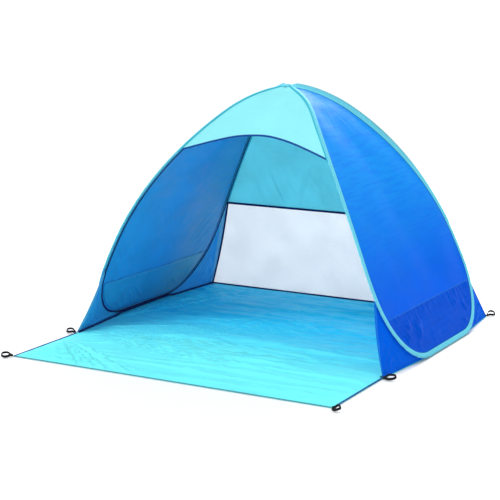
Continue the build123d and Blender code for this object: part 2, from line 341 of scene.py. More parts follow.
class Nodes:
    """A material's nodes, with short names for the few kinds that are used here."""

    def __init__(self, name):
        self.material = bpy.data.materials.new(name)
        self.material.use_nodes = True
        self.tree = self.material.node_tree
        self.tree.nodes.clear()

    def add(self, kind, **values):
        node = self.tree.nodes.new(kind)
        for key, value in values.items():
            setattr(node, key, value)
        return node

    def put(self, socket, value):
        if isinstance(value, bpy.types.NodeSocket):
            self.tree.links.new(value, socket)
        else:
            socket.default_value = value

    def math(self, operation, a, b=0.0, c=0.0):
        node = self.add("ShaderNodeMath", operation=operation)
        for socket, value in zip(node.inputs, (a, b, c)):
            self.put(socket, value)
        return node.outputs[0]

    def place(self):
        """The place on the flat cloth in metres, as x along, y across and z as the piece's own mark."""
        attribute = self.add("ShaderNodeAttribute", attribute_name="cloth_place")
        split = self.add("ShaderNodeSeparateXYZ")
        self.put(split.inputs[0], attribute.outputs["Vector"])
        return attribute.outputs["Vector"], split.outputs[0], split.outputs[1], split.outputs[2]

    def noise(self, vector, scale, detail=2.0, stretch=None):
        if stretch:
            mapping = self.add("ShaderNodeMapping")
            self.put(mapping.inputs["Vector"], vector)
            mapping.inputs["Scale"].default_value = stretch
            vector = mapping.outputs[0]
        node = self.add("ShaderNodeTexNoise")
        self.put(node.inputs["Vector"], vector)
        node.inputs["Scale"].default_value = scale
        node.inputs["Detail"].default_value = detail
        return node.outputs["Fac"]

    def ramp(self, value, low, high, start=0.0, end=1.0, smooth=True):
        node = self.add("ShaderNodeMapRange", interpolation_type="SMOOTHSTEP" if smooth else "LINEAR")
        for socket, v in zip(node.inputs, (value, low, high, start, end)):
            self.put(socket, v)
        return node.outputs[0]

    def mix(self, amount, a, b, blend="MIX"):
        node = self.add("ShaderNodeMix", data_type="RGBA", blend_type=blend)
        self.put(node.inputs["Factor"], amount)
        colours = [s for s in node.inputs if s.type == "RGBA"]
        self.put(colours[0], a)
        self.put(colours[1], b)
        return [s for s in node.outputs if s.type == "RGBA"][0]

    def near(self, value, middle, width):
        """1 where a value is close to a middle, else 0."""
        away = self.math("ABSOLUTE", self.math("SUBTRACT", value, middle))
        return self.ramp(away, width * 0.5, width, 1.0, 0.0)

    def dashes(self, along, pitch, part=0.62):
        """1 on the stitches of a seam, else 0."""
        turn = self.math("FRACT", self.math("MULTIPLY", along, 1 / pitch))
        return self.math("LESS_THAN", turn, part)

    def weave(self, along, across, pitch):
        """Height of a plain weave, from -1 to 1."""
        a = self.math("SINE", self.math("MULTIPLY", along, 2 * math.pi / pitch))
        b = self.math("SINE", self.math("MULTIPLY", across, 2 * math.pi / pitch))
        return self.math("MULTIPLY", a, b)

    def bump(self, height, distance, strength=1.0, under=None):
        node = self.add("ShaderNodeBump")
        self.put(node.inputs["Height"], height)
        node.inputs["Distance"].default_value = distance
        node.inputs["Strength"].default_value = strength
        if under is not None:
            self.put(node.inputs["Normal"], under)
        return node.outputs[0]

    def principled(self, colour, roughness, normal=None, **constants):
        node = self.add("ShaderNodeBsdfPrincipled")
        self.put(node.inputs["Base Color"], colour)
        self.put(node.inputs["Roughness"], roughness)
        if normal is not None:
            self.put(node.inputs["Normal"], normal)
        for key, value in constants.items():
            node.inputs[key.replace("_", " ")].default_value = value
        return node.outputs[0]

    def finish(self, shader):
        output = self.add("ShaderNodeOutputMaterial")
        self.tree.links.new(shader, output.inputs["Surface"])
        return self.material


def cloth_material(name, colour, through=0.25, through_colour=None, rough=(0.42, 0.58), sheen=0.03,
                   vary=0.08, seams=(), zones=(), puckers=None, wrinkle=0.0007, shine=0.01):
    """Woven polyester: a fine weave, fine creases, slow changes of colour, and light that comes through.

    seams are (coordinate, place, width, colour, stitch pitch). zones are (coordinate, low, high, colour).
    """
    n = Nodes(name)
    vector, along, across, mark = n.place()
    pick = {"along": along, "across": across, "mark": mark}
    cloud = n.noise(vector, 5.0, 3.0)
    streak = n.noise(vector, 60.0, 2.0, stretch=(0.12, 1.0, 1.0))
    thread = n.noise(vector, 900.0, 1.0)
    dark = tuple(c * (1 - vary) for c in linear(colour)[:3]) + (1,)
    light = tuple(min(1, c * (1 + vary)) for c in linear(colour)[:3]) + (1,)
    tone = n.mix(n.ramp(cloud, 0.3, 0.7), dark, light)
    for key, low, high, zone_colour in zones:
        tone = n.mix(n.ramp(pick[key], low, high), tone, linear(zone_colour))
    # Lighter streaks along the cloth: partly a random tone of the weave, partly painted sheen.
    tone = n.mix(n.ramp(streak, 0.35, 0.75, 0.0, 0.35), tone, light)
    tone = n.mix(n.ramp(thread, 0.3, 0.7, 0.0, 0.05), tone, (0, 0, 0, 1))
    normal = n.bump(n.noise(vector, 38.0, 4.0), wrinkle)
    normal = n.bump(n.weave(along, across, 0.0009), 0.00006, 0.5, under=normal)
    if puckers:
        key, low, high, pitch = puckers
        slant = n.math("ADD", along, n.math("MULTIPLY", across, 0.7))
        wobble = n.math("MULTIPLY", n.noise(vector, 30.0, 2.0), pitch * 1.6)
        fold = n.math("SINE", n.math("MULTIPLY", n.math("ADD", slant, wobble), 2 * math.pi / pitch))
        inside = n.math("MULTIPLY", n.ramp(pick[key], low, high), fold)
        normal = n.bump(inside, 0.0006, 0.7, under=normal)
        # Painted shade: one side of each pucker fold is darkened.
        shade = n.math("MULTIPLY", n.ramp(inside, 0.1, 0.9), 0.22)
        tone = n.mix(shade, tone, tuple(c * 0.55 for c in linear(colour)[:3]) + (1,))
    for key, place, width, seam_colour, pitch in seams:
        line = n.near(pick[key], place, width)
        if pitch:
            thread_line = n.math("MULTIPLY", line, n.dashes(along, pitch))
            normal = n.bump(thread_line, 0.0005, 0.8, under=normal)
            line = n.math("MULTIPLY", line, n.ramp(n.dashes(along, pitch), 0, 1, 0.35, 1.0))
        tone = n.mix(line, tone, linear(seam_colour))
    roughness = n.ramp(n.noise(vector, 14.0, 3.0), 0.3, 0.7, rough[0], rough[1])
    shader = n.principled(tone, roughness, normal, Sheen_Weight=sheen, Sheen_Roughness=0.4,
                          Specular_IOR_Level=shine)
    if through:
        back = n.add("ShaderNodeBsdfTranslucent")
        n.put(back.inputs["Color"], tone if through_colour is None else linear(through_colour))
        n.put(back.inputs["Normal"], normal)
        mixed = n.add("ShaderNodeMixShader")
        mixed.inputs[0].default_value = through
        n.put(mixed.inputs[1], shader)
        n.put(mixed.inputs[2], back.outputs[0])
        shader = mixed.outputs[0]
    return n.finish(shader)


def mesh_material(name):
    """Fine insect mesh: pale threads with gaps between them."""
    n = Nodes(name)
    vector, along, across, _ = n.place()
    cloud = n.noise(vector, 7.0, 2.0)
    tone = n.mix(n.ramp(cloud, 0.3, 0.7), linear((214, 220, 226)), linear((224, 229, 233)))
    pitch = 0.0016
    warp = n.math("ABSOLUTE", n.math("SINE", n.math("MULTIPLY", along, math.pi / pitch)))
    weft = n.math("ABSOLUTE", n.math("SINE", n.math("MULTIPLY", across, math.pi / pitch)))
    holes = n.math("MULTIPLY", n.ramp(warp, 0.25, 0.6), n.ramp(weft, 0.25, 0.6))
    open_share = n.math("MULTIPLY", holes, 0.55)
    normal = n.bump(n.weave(along, across, pitch * 2), 0.0002, 0.5)
    solid = n.principled(tone, 0.62, normal, Sheen_Weight=0.1, Specular_IOR_Level=0.2)
    back = n.add("ShaderNodeBsdfTranslucent")
    n.put(back.inputs["Color"], tone)
    cloth = n.add("ShaderNodeMixShader")
    cloth.inputs[0].default_value = 0.45
    n.put(cloth.inputs[1], solid)
    n.put(cloth.inputs[2], back.outputs[0])
    clear = n.add("ShaderNodeBsdfTransparent")
    mixed = n.add("ShaderNodeMixShader")
    n.put(mixed.inputs[0], open_share)
    n.put(mixed.inputs[1], cloth.outputs[0])
    n.put(mixed.inputs[2], clear.outputs[0])
    return n.finish(mixed.outputs[0])


def webbing_material(name, colour, light):
    """Narrow woven tape with ribs along it."""
    n = Nodes(name)
    vector, along, across, _ = n.place()
    rib = n.math("SINE", n.math("MULTIPLY", across, 2 * math.pi / 0.0013))
    pick = n.math("SINE", n.math("MULTIPLY", along, 2 * math.pi / 0.0016))
    height = n.math("ADD", rib, n.math("MULTIPLY", pick, 0.5))
    dust = n.noise(vector, 160.0, 3.0)
    tone = n.mix(n.ramp(dust, 0.35, 0.75), linear(colour), linear(light))
    normal = n.bump(height, 0.00015, 0.7)
    roughness = n.ramp(dust, 0.3, 0.7, 0.5, 0.75)
    return n.finish(n.principled(tone, roughness, normal, Sheen_Weight=0.02, Specular_IOR_Level=0.15))


def steel_material(name, colour, rough):
    """Drawn spring steel with fine lines along it."""
    n = Nodes(name)
    coordinates = n.add("ShaderNodeTexCoord").outputs["Object"]
    line = n.noise(coordinates, 420.0, 3.0)
    tone = n.mix(n.ramp(line, 0.3, 0.7), linear(colour), linear(tuple(c * 0.8 for c in colour)))
    roughness = n.ramp(line, 0.3, 0.7, rough, rough + 0.15)
    return n.finish(n.principled(tone, roughness, n.bump(line, 0.0001, 0.4), Metallic=1.0))


sleeve_cloth = cloth_material(
    "sleeve_cloth", (122, 228, 248), through=0.22, rough=(0.4, 0.55), vary=0.05,
    # Painted light and shade: the half of the sleeve towards the panel is painted lighter, and the flange is
    # painted darker teal as shade.
    zones=[("mark", 0.006, 0.009, (124, 234, 255)), ("mark", -0.0065, -0.0085, (64, 196, 220))],
    # The dark line along the flap's edge is the seam, and partly painted shade where the sleeve meets the
    # panel.
    seams=[("mark", 0.0125, 0.0010, (88, 196, 218), 0.0035), ("mark", 0.0238, 0.0030, (16, 110, 170), None)],
    puckers=("mark", 0.008, 0.005, 0.014),
)
side_cloth = cloth_material(
    "side_cloth", (0, 102, 240), through=0.12, through_colour=(0, 120, 240), rough=(0.36, 0.5), vary=0.04,
    zones=[
        # Painted light: the panel is painted lighter towards its top.
        ("mark", 0.18, 0.80, (16, 156, 252)),
        # Painted shade: darker below the pocket's top, where the pocket behind lets less light through.
        ("mark", POCKET_TOP + 0.001, POCKET_TOP - 0.001, (0, 84, 218)),
    ],
    seams=[("mark", POCKET_TOP, 0.0030, (40, 116, 226), 0.0060)],
)
side_lining = cloth_material(
    "side_lining", (62, 190, 244), through=0.28, through_colour=(60, 176, 244), rough=(0.38, 0.6), shine=0.2,
    # Painted light: the lining is painted paler and greyer towards the rear.
    zones=[("along", -0.05, 0.30, (112, 198, 226))],
)
skirt_cloth = cloth_material(
    "skirt_cloth", (1, 104, 236), through=0.15, rough=(0.38, 0.52), vary=0.05,
    zones=[("mark", 0.013, 0.011, (34, 132, 236))],
    seams=[("mark", 0.012, 0.0012, (60, 150, 240), 0.0045)],
)
skirt_lining = cloth_material(
    "skirt_lining", (82, 206, 246), through=0.35, rough=(0.38, 0.56), vary=0.05, shine=0.15,
    # A hem strip along the free edge, painted lighter as if lit through from behind: partly the hem, partly
    # painted light.
    zones=[("mark", 0.045, 0.020, (170, 238, 246))],
)
pocket_cloth = cloth_material(
    "pocket_cloth", (66, 196, 246), through=0.30, rough=(0.28, 0.44), shine=0.3,
    # Painted light: paler and greyer towards the rear, as on the lining.
    zones=[("along", -0.05, 0.30, (118, 202, 228))],
)
awning_cloth = cloth_material("awning_cloth", (156, 243, 248), through=0.25, rough=(0.45, 0.6), vary=0.03)
back_cloth = cloth_material("back_cloth", (150, 222, 232), through=0.52, rough=(0.42, 0.6), vary=0.05)
floor_cloth = cloth_material(
    "floor_cloth", (114, 242, 248), through=0.0, rough=(0.34, 0.5), vary=0.04, shine=0.04,
    # Painted shade: the floor is painted a deeper blue towards the rear, inside the tent.
    zones=[("across", -0.65, 0.30, (40, 200, 244))],
)
window_cloth = mesh_material("window_mesh")
binding = webbing_material("binding_tape", (10, 32, 92), (16, 46, 112))
hem_tape = webbing_material("hem_tape", (12, 62, 140), (20, 78, 154))
pale_hem = webbing_material("pale_hem", (70, 120, 140), (90, 146, 164))
webbing = webbing_material("webbing", (10, 10, 12), (34, 34, 38))
spring_steel = steel_material("spring_steel", (150, 152, 156), 0.28)
ferrule_metal = steel_material("ferrule_metal", (196, 198, 202), 0.35)


def dress(obj, slot, *materials):
    """Gives a new piece its materials and its slot of the record."""
    obj.data.materials.clear()
    for material in materials:
        obj.data.materials.append(material)
    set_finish(obj, slot)
    return obj


# ---- the wires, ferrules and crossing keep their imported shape, inside the sleeves ----
for node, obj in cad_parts.items():
    if node.startswith("hoop_wire") or node == "crown_wire_crossing":
        obj.data.materials.clear()
        obj.data.materials.append(spring_steel)
    elif node.startswith("hoop_ferrule"):
        obj.data.materials.clear()
        obj.data.materials.append(ferrule_metal)

# ---- hoop sleeves ----
SLEEVE_START = 0.014
SLEEVE_STATIONS = 960
FLAP = 0.0190
BULGE = 0.0043

path = evenly(hoop, 3000)
points_3d = on_arch(path[:, 0], path[:, 1])
inside = points_3d[:, 0] > SLEEVE_START
path = evenly(path[inside], SLEEVE_STATIONS)
path_along = lengths(path)
centre = on_arch(path[:, 0], path[:, 1])
out_dir = unit(on_arch(path[:, 0], path[:, 1], 0.01) - centre)
run_dir = unit(np.gradient(centre, axis=0))
in_dir = np.cross(run_dir, out_dir)
middle_of_hoop = np.array([0.0, CROWN_Y, 0.45])
flip = np.sign(((middle_of_hoop - centre) * in_dir * (0, 1, 1)).sum(axis=1))
in_dir = unit(in_dir * flip[:, None])
wall_out = np.gradient(centre[:, 1:], axis=0)
wall_out = unit(np.column_stack([np.zeros(len(centre)), -wall_out[:, 1], wall_out[:, 0]]))
wall_out *= np.sign(((centre - middle_of_hoop) * wall_out).sum(axis=1))[:, None]
flange_dir = np.cross(wall_out, run_dir)
flange_dir = unit(flange_dir * -np.sign(flange_dir[:, :1]))
height_at = centre[:, 2]
front_side = centre[:, 1] < CROWN_Y
flange_from = np.where(front_side, AWNING_END, WINDOW_TOP)
flange = ease(height_at, flange_from - 0.03, flange_from + 0.01)[:, None]

plain_profile = [
    (FLAP, 0.0003), (0.0175, 0.0009), (0.0120, 0.0012), (0.0080, 0.0015), (0.0050, 0.0033),
    (0.0010, BULGE), (-0.0026, 0.0034), (-0.0052, 0.0009), (-0.0052, -0.0009), (-0.0026, -0.0034),
    (0.0010, -BULGE), (0.0050, -0.0033), (0.0080, -0.0015), (0.0120, -0.0012), (0.0175, -0.0009),
    (FLAP, -0.0003),
]
FLANGE_LENGTH = 0.0085
FIN = 0.018
flange_profile = {
    6: (-0.0030, 0.0026, 0.0),
    7: (-0.0042, 0.0002, 0.0),
    8: (0.0, 0.0044, 0.0030),
    9: (0.0, 0.0028, 0.0060),
    10: (0.0, 0.0012, FLANGE_LENGTH),
    11: (0.0, 0.0002, FLANGE_LENGTH),
}
fin_part = {6: 0.40, 7: 1.0}
# The flange's points get this mark, which gives them the painted shade of sleeve_cloth's darker teal zone.
FLANGE_MARK = -0.012
fin = np.where(front_side, 0.0, FIN * (0.30 + 0.70 * ease(height_at, 0.55, 0.95)))
fin = (fin * ease(centre[:, 0], SLEEVE_START - 0.012, SLEEVE_START + 0.030))[:, None] * flange
rng = np.random.default_rng(5)
pucker_phase = np.cumsum(rng.normal(0, 0.16, SLEEVE_STATIONS)) + path_along / 0.0145 * 2 * math.pi
pucker_size = 0.55 + 0.45 * np.interp(path_along, np.linspace(0, path_along[-1], 90), rng.random(90))
edge_wave = waves(path_along, 0 * path_along, 8, 0.03, 0.12, 0, 0.01) * 0.0005
rows = []
for k, (across, out) in enumerate(plain_profile):
    loose = float(ease(-across, -0.010, 0.002)) if k not in (0, 15) else 0.0
    swell = 1 + 0.20 * loose * pucker_size * np.sin(pucker_phase + 0.55 * k)
    point = centre + in_dir * (across + edge_wave * loose)[:, None] + out_dir * (out * swell)[:, None]
    if k in flange_profile:
        a, b, c = flange_profile[k]
        side = centre + in_dir * a + (out_dir if k < 8 else wall_out) * (b * swell)[:, None]
        side = side + flange_dir * c + (out_dir * 0.8 - in_dir * 0.6) * fin * fin_part.get(k, 0)
        point = point * (1 - flange) + side * flange
    rows.append(point)
sleeve_grid = np.stack(rows, axis=1)
marks = np.array([a + 0.005 for a, _ in plain_profile])
marks = np.tile(marks, (SLEEVE_STATIONS, 1))
for k in range(8, 12):
    marks[:, k] += (FLANGE_MARK - marks[:, k]) * flange[:, 0]
marks[:, 7] += (0.0 - marks[:, 7]) * flange[:, 0]
flat_across = lengths(np.array(plain_profile))
flat = np.stack(np.broadcast_arrays(path_along[:, None], flat_across[None, :]), axis=-1)
sleeve_right = grid_object("sleeve_right", sleeve_grid, flat, shade=marks)
thicken(sleeve_right, 0.0004)

# ---- side panels ----
PANEL_INSET = 0.0165
PANEL_START = 0.030
edge = evenly(path[centre[:, 0] > PANEL_START], 360)
edge_in = unit(np.column_stack([-np.gradient(edge[:, 1]), np.gradient(edge[:, 0])]))
middle_flat = np.array([0.0, float(arch_rise(0.42))])
edge_in *= np.sign(((middle_flat - edge) * edge_in).sum(axis=1))[:, None]
boundary = edge + edge_in * PANEL_INSET
boundary = boundary[(boundary[:, 0] * np.sign(edge[:, 0]) > -1e-4) | (edge[:, 1] < 0.9)]
tip = np.array([[0.0, max(boundary[0, 1], boundary[-1, 1]) + 0.002]])
boundary = evenly(np.vstack([tip, boundary, tip]), 361)[:-1]
RINGS = 56
ring_share = 1 - np.linspace(0, 1, RINGS) ** 1.5
ring_share[-1] = 0.004
panel_flat = middle_flat + ring_share[:, None, None] * (boundary - middle_flat)
panel_y, panel_rise = panel_flat[..., 0], panel_flat[..., 1]
panel_z = np.interp(panel_rise, arch_along, arch[:, 1])
edge_fade = 1 - np.broadcast_to(ring_share[:, None], panel_y.shape)
from_edge = np.clip(edge_fade * 0.4, 0, 1)
soft = ease(from_edge, 0.0, 0.03)
panel_out = -0.010 * np.sin(np.clip(edge_fade, 0, 1) * math.pi / 2) ** 2
panel_out += 0.0016 * waves(panel_y, panel_rise, 21, 0.20, 0.55, 0.3, 1.2) * soft
below = ease(POCKET_TOP - panel_z, -0.004, 0.012)
gather = waves(panel_y, panel_rise * 0.25, 31, 0.020, 0.065, 0.0, 0.25)
near_ends = np.clip(0.25 + 0.9 * ease(np.abs(panel_y - 0.03), 0.10, 0.30), 0, 1)
panel_out += below * soft * gather * 0.0014 * np.exp(-np.clip(POCKET_TOP - panel_z, 0, 1) / 0.035)
end_creases = creases(panel_y, panel_rise, 35, 0.05, 0.13, 0.9, 0.6, patch=0.12)
panel_out += below * soft * near_ends * end_creases * 0.0085
panel_out += bump_at(panel_z, POCKET_TOP, 0.0024) * 0.0009
fan = np.arctan2(panel_y, 1.25 - panel_rise)
panel_out += 0.0004 * np.sin(fan * 34 + 2 * np.sin(fan * 9)) * ease(panel_z, 0.80, 1.02) * soft
panel_grid = on_arch(panel_y, panel_rise, panel_out)
side_panel_right = grid_object("side_panel_right_cloth", panel_grid[:, ::-1], panel_flat[:, ::-1],
                               loop_columns=True, shade=panel_z[:, ::-1], closed_middle=True)
thicken(side_panel_right, CLOTH, lining=True)

# ---- binding inside the side panel, and the pocket ----
TAPE_INSET = 0.0140
binding_edge = edge + edge_in * TAPE_INSET
keep_low = on_arch(binding_edge[:, 0], binding_edge[:, 1])[:, 0] > PANEL_START + 0.012
keep_low &= binding_edge[:, 0] * np.sign(edge[:, 0]) > -1e-4
binding_edge = evenly(binding_edge[keep_low], 420)
binding_mid = on_arch(binding_edge[:, 0], binding_edge[:, 1], -0.0072)
binding_up = unit(on_arch(binding_edge[:, 0], binding_edge[:, 1], 0.01) - binding_mid)
binding_across = np.cross(unit(np.gradient(binding_mid, axis=0)), binding_up)
side_tape_right = ribbon("side_binding_right", binding_mid, binding_across, binding_up,
                         TAPE_WIDTH, TAPE_THICK)

POCKET_COLUMNS, POCKET_ROWS = 150, 34
pocket_edge = edge + edge_in * 0.0320
pocket_z = np.interp(pocket_edge[:, 1], arch_along, arch[:, 1])
foot = int(np.argmin(pocket_z))
left_part, right_part = pocket_edge[: foot + 1][::-1], pocket_edge[foot:]
share_up = np.linspace(0, 1, POCKET_ROWS)[:, None]
low_rise, high_rise = float(pocket_edge[:, 1].min()), float(arch_rise(POCKET_TOP))
row_rise = low_rise + (high_rise - low_rise) * share_up[:, 0] ** 1.6
rear_y = np.interp(row_rise, left_part[:, 1], left_part[:, 0])
front_y = np.interp(row_rise, right_part[:, 1], right_part[:, 0])
pocket_y = front_y[:, None] + (rear_y - front_y)[:, None] * np.linspace(0, 1, POCKET_COLUMNS)
pocket_rise = np.broadcast_to(row_rise[:, None], pocket_y.shape)
top_share = np.broadcast_to(share_up, pocket_y.shape)
sides = np.broadcast_to(np.sin(np.linspace(0, math.pi, POCKET_COLUMNS)) ** 0.4, pocket_y.shape)
near_panel = panel_flat.reshape(-1, 2)[panel_z.ravel() < POCKET_TOP + 0.02]
near_out = panel_out.ravel()[panel_z.ravel() < POCKET_TOP + 0.02]
pocket_out = np.zeros(pocket_y.shape)
for k in range(POCKET_ROWS):
    away = np.hypot(pocket_y[k][:, None] - near_panel[:, 0], pocket_rise[k][:, None] - near_panel[:, 1])
    pocket_out[k] = np.where(away < 0.012, near_out, 1.0).min(axis=1)
pocket_out = np.where(pocket_out > 0.5, 0.0, pocket_out) - 0.0022
belly = np.sin(np.clip(top_share, 0, 1) * math.pi) ** 0.8 * sides
pocket_out -= 0.0030 * belly
pocket_out -= 0.0060 * creases(pocket_y, pocket_rise, 43, 0.07, 0.20, 0.8, 0.45, patch=0.3) * belly
pocket_grid = on_arch(pocket_y, pocket_rise, np.minimum(pocket_out, -0.0034))
pocket_flat = np.stack([pocket_y, pocket_rise], axis=-1)
side_pocket_right = grid_object("side_pocket_right_cloth", pocket_grid, pocket_flat)
thicken(side_pocket_right, 0.0005)

# ---- corner skirts: a fan of cloth from the hoop's curve to the floor's corner ----
SKIRT_ALONG, SKIRT_OUT = 70, 60
EDGE_LIFT = 0.0028
SKIRT_INSIDE = 0.0058
SKIRT_INSET = 0.016
WINDOW_BEND = 0.008
foot_reach = float(wire_line[np.argmax(wire_line[:, 1] > wire_line[:, 1].min() + 1e-4)][0])


def skirt_shape(top_height, rumple):
    """Points, flat places and distances to the free edge of a rear skirt that starts at a height."""
    run = path[(path[:, 0] >= foot_reach - 0.012) & (path[:, 1] <= float(arch_rise(top_height)))]
    run = evenly(run[::-1], SKIRT_ALONG)
    run_in = unit(np.column_stack([-np.gradient(run[:, 1]), np.gradient(run[:, 0])]))
    run_in *= np.sign(((np.array([0.0, 0.45]) - run) * run_in).sum(axis=1))[:, None]
    share = np.linspace(0, 1, SKIRT_ALONG)
    inset = SKIRT_INSET * ease(share, 0.0, 0.10) * ease(1 - share, 0.0, 0.10) - 0.003
    run = run + run_in * inset[:, None]
    hoop_side = on_arch(run[:, 0], run[:, 1], -SKIRT_INSIDE)
    corner = np.array([HALF_WIDTH - 0.002, FLOOR_HIGH.y - 0.002, EDGE_LIFT])
    spoke = hoop_side - corner
    spoke_length = np.linalg.norm(spoke, axis=1)
    spoke_turn = np.arccos(np.clip((unit(spoke)[1:] * unit(spoke)[:-1]).sum(axis=1), -1, 1))
    spoke_turn = np.concatenate([[0], np.cumsum(spoke_turn)])
    out = np.linspace(0.012, 1.0, SKIRT_OUT)[:, None]
    fan = share[None, :]
    grid = corner + out[..., None] * spoke
    normal = unit(np.cross(spoke[-1], spoke[0]))
    normal *= np.sign(normal[0])
    fade = np.sin(np.clip(out, 0, 1) * math.pi) ** 0.7 * np.sin(fan * math.pi) ** 0.6
    fold = np.sin(fan * 30 + 1.2 * np.sin(fan * 11)) * 0.6 + waves(fan, out, 51, 0.1, 0.5)
    bulge = fade * (0.0015 * fold - 0.004)
    rumples = creases(fan * 0.35, out * 0.45, 53, 0.05, 0.12, 0.5, 1.0, sharp=0.35, patch=0.15)
    bulge = bulge + rumple * fade * rumples
    grid = grid + normal * bulge[..., None]
    grid[..., 0] -= WINDOW_BEND * np.sin(out * math.pi) * fan**3
    grid[..., 2] = np.maximum(grid[..., 2], EDGE_LIFT)
    spoke_flat = np.column_stack([np.cos(spoke_turn), np.sin(spoke_turn)])
    flat = out[..., None] * (spoke_length[:, None] * spoke_flat)
    from_free_edge = (spoke_turn[-1] - spoke_turn)[None, :] * out * spoke_length[-1]
    return grid, flat, from_free_edge


rear_grid, rear_flat, rear_mark = skirt_shape(WINDOW_TOP, 0.0050)
rear_skirt_right = grid_object("rear_skirt_right_cloth", rear_grid, rear_flat, shade=rear_mark)
front_grid, front_flat, front_mark = skirt_shape(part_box("front_skirt_right")[1].z, 0.0010)
front_grid[..., 1] = 2 * CROWN_Y - front_grid[..., 1]
front_skirt_right = grid_object("front_skirt_right_cloth", front_grid[:, ::-1], front_flat[:, ::-1],
                                shade=front_mark[:, ::-1])
for obj in (rear_skirt_right, front_skirt_right):
    thicken(obj, CLOTH, lining=True)

# ---- awning and back wall ----
WALL_ROWS, WALL_COLUMNS = 110, 180
WALL_TOP = float(np.interp(0.012, arch[::-1, 0], arch[::-1, 1]))


def wall_grid(sign, low, tuck):
    """Points of the awning, with sign -1, or the back wall, with sign 1, up from a lower edge."""
    across = np.linspace(-1, 1, WALL_COLUMNS)[None, :]
    up = np.linspace(0, 1, WALL_ROWS)[:, None] ** 1.15
    level = low(across) + (WALL_TOP - low(across)) * up
    x = across * np.maximum(arch_at(level) - tuck, 0.004)
    y = CROWN_Y + sign * wire_reach(level)
    return across + 0 * level, level, np.stack([x, y, level], axis=-1)


def push(grid, amount, sign):
    """Moves a wall's points along its own normal, outwards."""
    tangent = np.gradient(grid, axis=0)
    normal = unit(np.stack([0 * tangent[..., 0], tangent[..., 2], -tangent[..., 1]], axis=-1)) * sign
    return grid + normal * amount[..., None]


across, level, grid = wall_grid(-1, lambda a: AWNING_END + AWNING_RISE * (1 - a**2) + 0.004, 0.0040)
sides = (1 - np.abs(across) ** 3)
spoke = across * 0.5
amount = 0.0004 * np.sin(spoke * 60 + 2 * np.sin(spoke * 17)) * ease(level, 0.88, 1.06) * sides
amount += 0.0012 * waves(grid[..., 0], grid[..., 2], 61, 0.14, 0.40, 0.9, 0.8) * sides
amount -= 0.006 * sides * ease(level, WALL_TOP, AWNING_END)
amount = amount * ease(WALL_TOP - level, 0.0, 0.03)
awning = grid_object("awning_cloth_front", push(grid, amount, -1)[:, ::-1],
                     np.stack([grid[..., 0], -lengths(grid[:, 90])[:, None] + 0 * across], -1)[:, ::-1])
thicken(awning, CLOTH, lining=True)
hem_path = push(grid, amount, -1)[0]
awning_hem = ribbon("awning_hem", evenly(hem_path, 200), (0, 0.35, 1), (0, -1, 0.35), 0.0085, 0.0022)

across, level, grid = wall_grid(1, lambda a: WINDOW_TOP + 0 * a, 0.0040)
sides = (1 - np.abs(across) ** 4)
low_part = ease(WINDOW_TOP + 0.30 - level, 0, 0.26)
slanted = grid[..., 0] + 0.35 * (grid[..., 2] - WINDOW_TOP)
drape = waves(slanted, grid[..., 2] * 0.12, 71, 0.045, 0.13, 0.0, 0.35)
amount = 0.0062 * drape * low_part * sides * (0.5 + 0.5 * waves(grid[..., 0], grid[..., 2], 73, 0.3, 0.7))
amount += 0.0110 * creases(grid[..., 0], grid[..., 2], 75, 0.10, 0.24, 2.6, 0.35, patch=0.3) * sides
amount += 0.0020 * waves(grid[..., 0], grid[..., 2], 77, 0.15, 0.45) * sides
amount = amount * ease(WALL_TOP - level, 0.0, 0.03) * ease(level - WINDOW_TOP, 0.006, 0.060) - 0.001 * sides
back_wall = grid_object("back_wall_cloth", push(grid, amount, 1),
                        np.stack([grid[..., 0], lengths(grid[:, 90])[:, None] + 0 * across], -1))
thicken(back_wall, CLOTH, lining=True)

# ---- window ----
WINDOW_ROWS, WINDOW_COLUMNS = 60, 150
sill = np.array([0.0, FLOOR_HIGH.y - 0.001, EDGE_LIFT])
lintel = np.array([0.0, CROWN_Y + float(wire_reach(WINDOW_TOP)), WINDOW_TOP + 0.004])
lintel_half = float(arch_at(WINDOW_TOP)) - 0.006
up = np.linspace(0, 1, WINDOW_ROWS)[:, None]
across = np.linspace(-1, 1, WINDOW_COLUMNS)[None, :]
curve_in = WINDOW_BEND * np.sin(up * math.pi)
half_at = HALF_WIDTH - 0.002 + (lintel_half - HALF_WIDTH + 0.002) * up - curve_in
grid = sill + up[..., None] * (lintel - sill) + across[..., None] * half_at[..., None] * np.array([1.0, 0, 0])
window_normal = unit(np.cross(np.array([1.0, 0, 0]), lintel - sill)) * -1
fade = np.sin(up * math.pi) ** 0.5 * (1 - np.abs(across) ** 6)
amount = 0.0022 * waves(grid[..., 0], grid[..., 2], 81, 0.12, 0.5) * fade - 0.006 * fade
grid = grid + window_normal * amount[..., None]
grid[..., 2] = np.maximum(grid[..., 2], EDGE_LIFT)
WINDOW_HEIGHT = float(np.linalg.norm(lintel - sill))
window_flat = np.stack(np.broadcast_arrays(grid[..., 0], up * WINDOW_HEIGHT), -1)
window = grid_object("window_screen", grid, window_flat)
thicken(window, 0.0005)
lintel_tape = ribbon("window_top_binding", evenly(grid[-1], 160) + (0, -0.002, -0.001),
                     lintel - sill, window_normal, TAPE_WIDTH, 0.0070)
side_binding = ribbon("window_side_binding_right", evenly(grid[:, -1] + (-0.004, -0.003, 0), 60), (1, 0, 0),
                      window_normal, TAPE_WIDTH, 0.0026)

# ---- floor ----
FLOOR_ROWS, FLOOR_COLUMNS = 230, 210
along_y = np.linspace(FLOOR_LOW.y, FLOOR_HIGH.y, FLOOR_ROWS)[:, None]
half_depth = (FLOOR_HIGH.y - MIDDLE_Y) / 2
foot_x = float(on_arch(0.0, wire_line[:, 1].min(), -SKIRT_INSIDE)[0])
FOOT_UP = 0.010


def floor_edge(y):
    """How far from the middle the floor's side edge is: out to the hoop's foot between the corners."""
    away = np.abs(y - CROWN_Y)
    straight = np.interp(away, [foot_reach, half_depth], [foot_x, HALF_WIDTH])
    return np.where(y < MIDDLE_Y, HALF_WIDTH, straight)


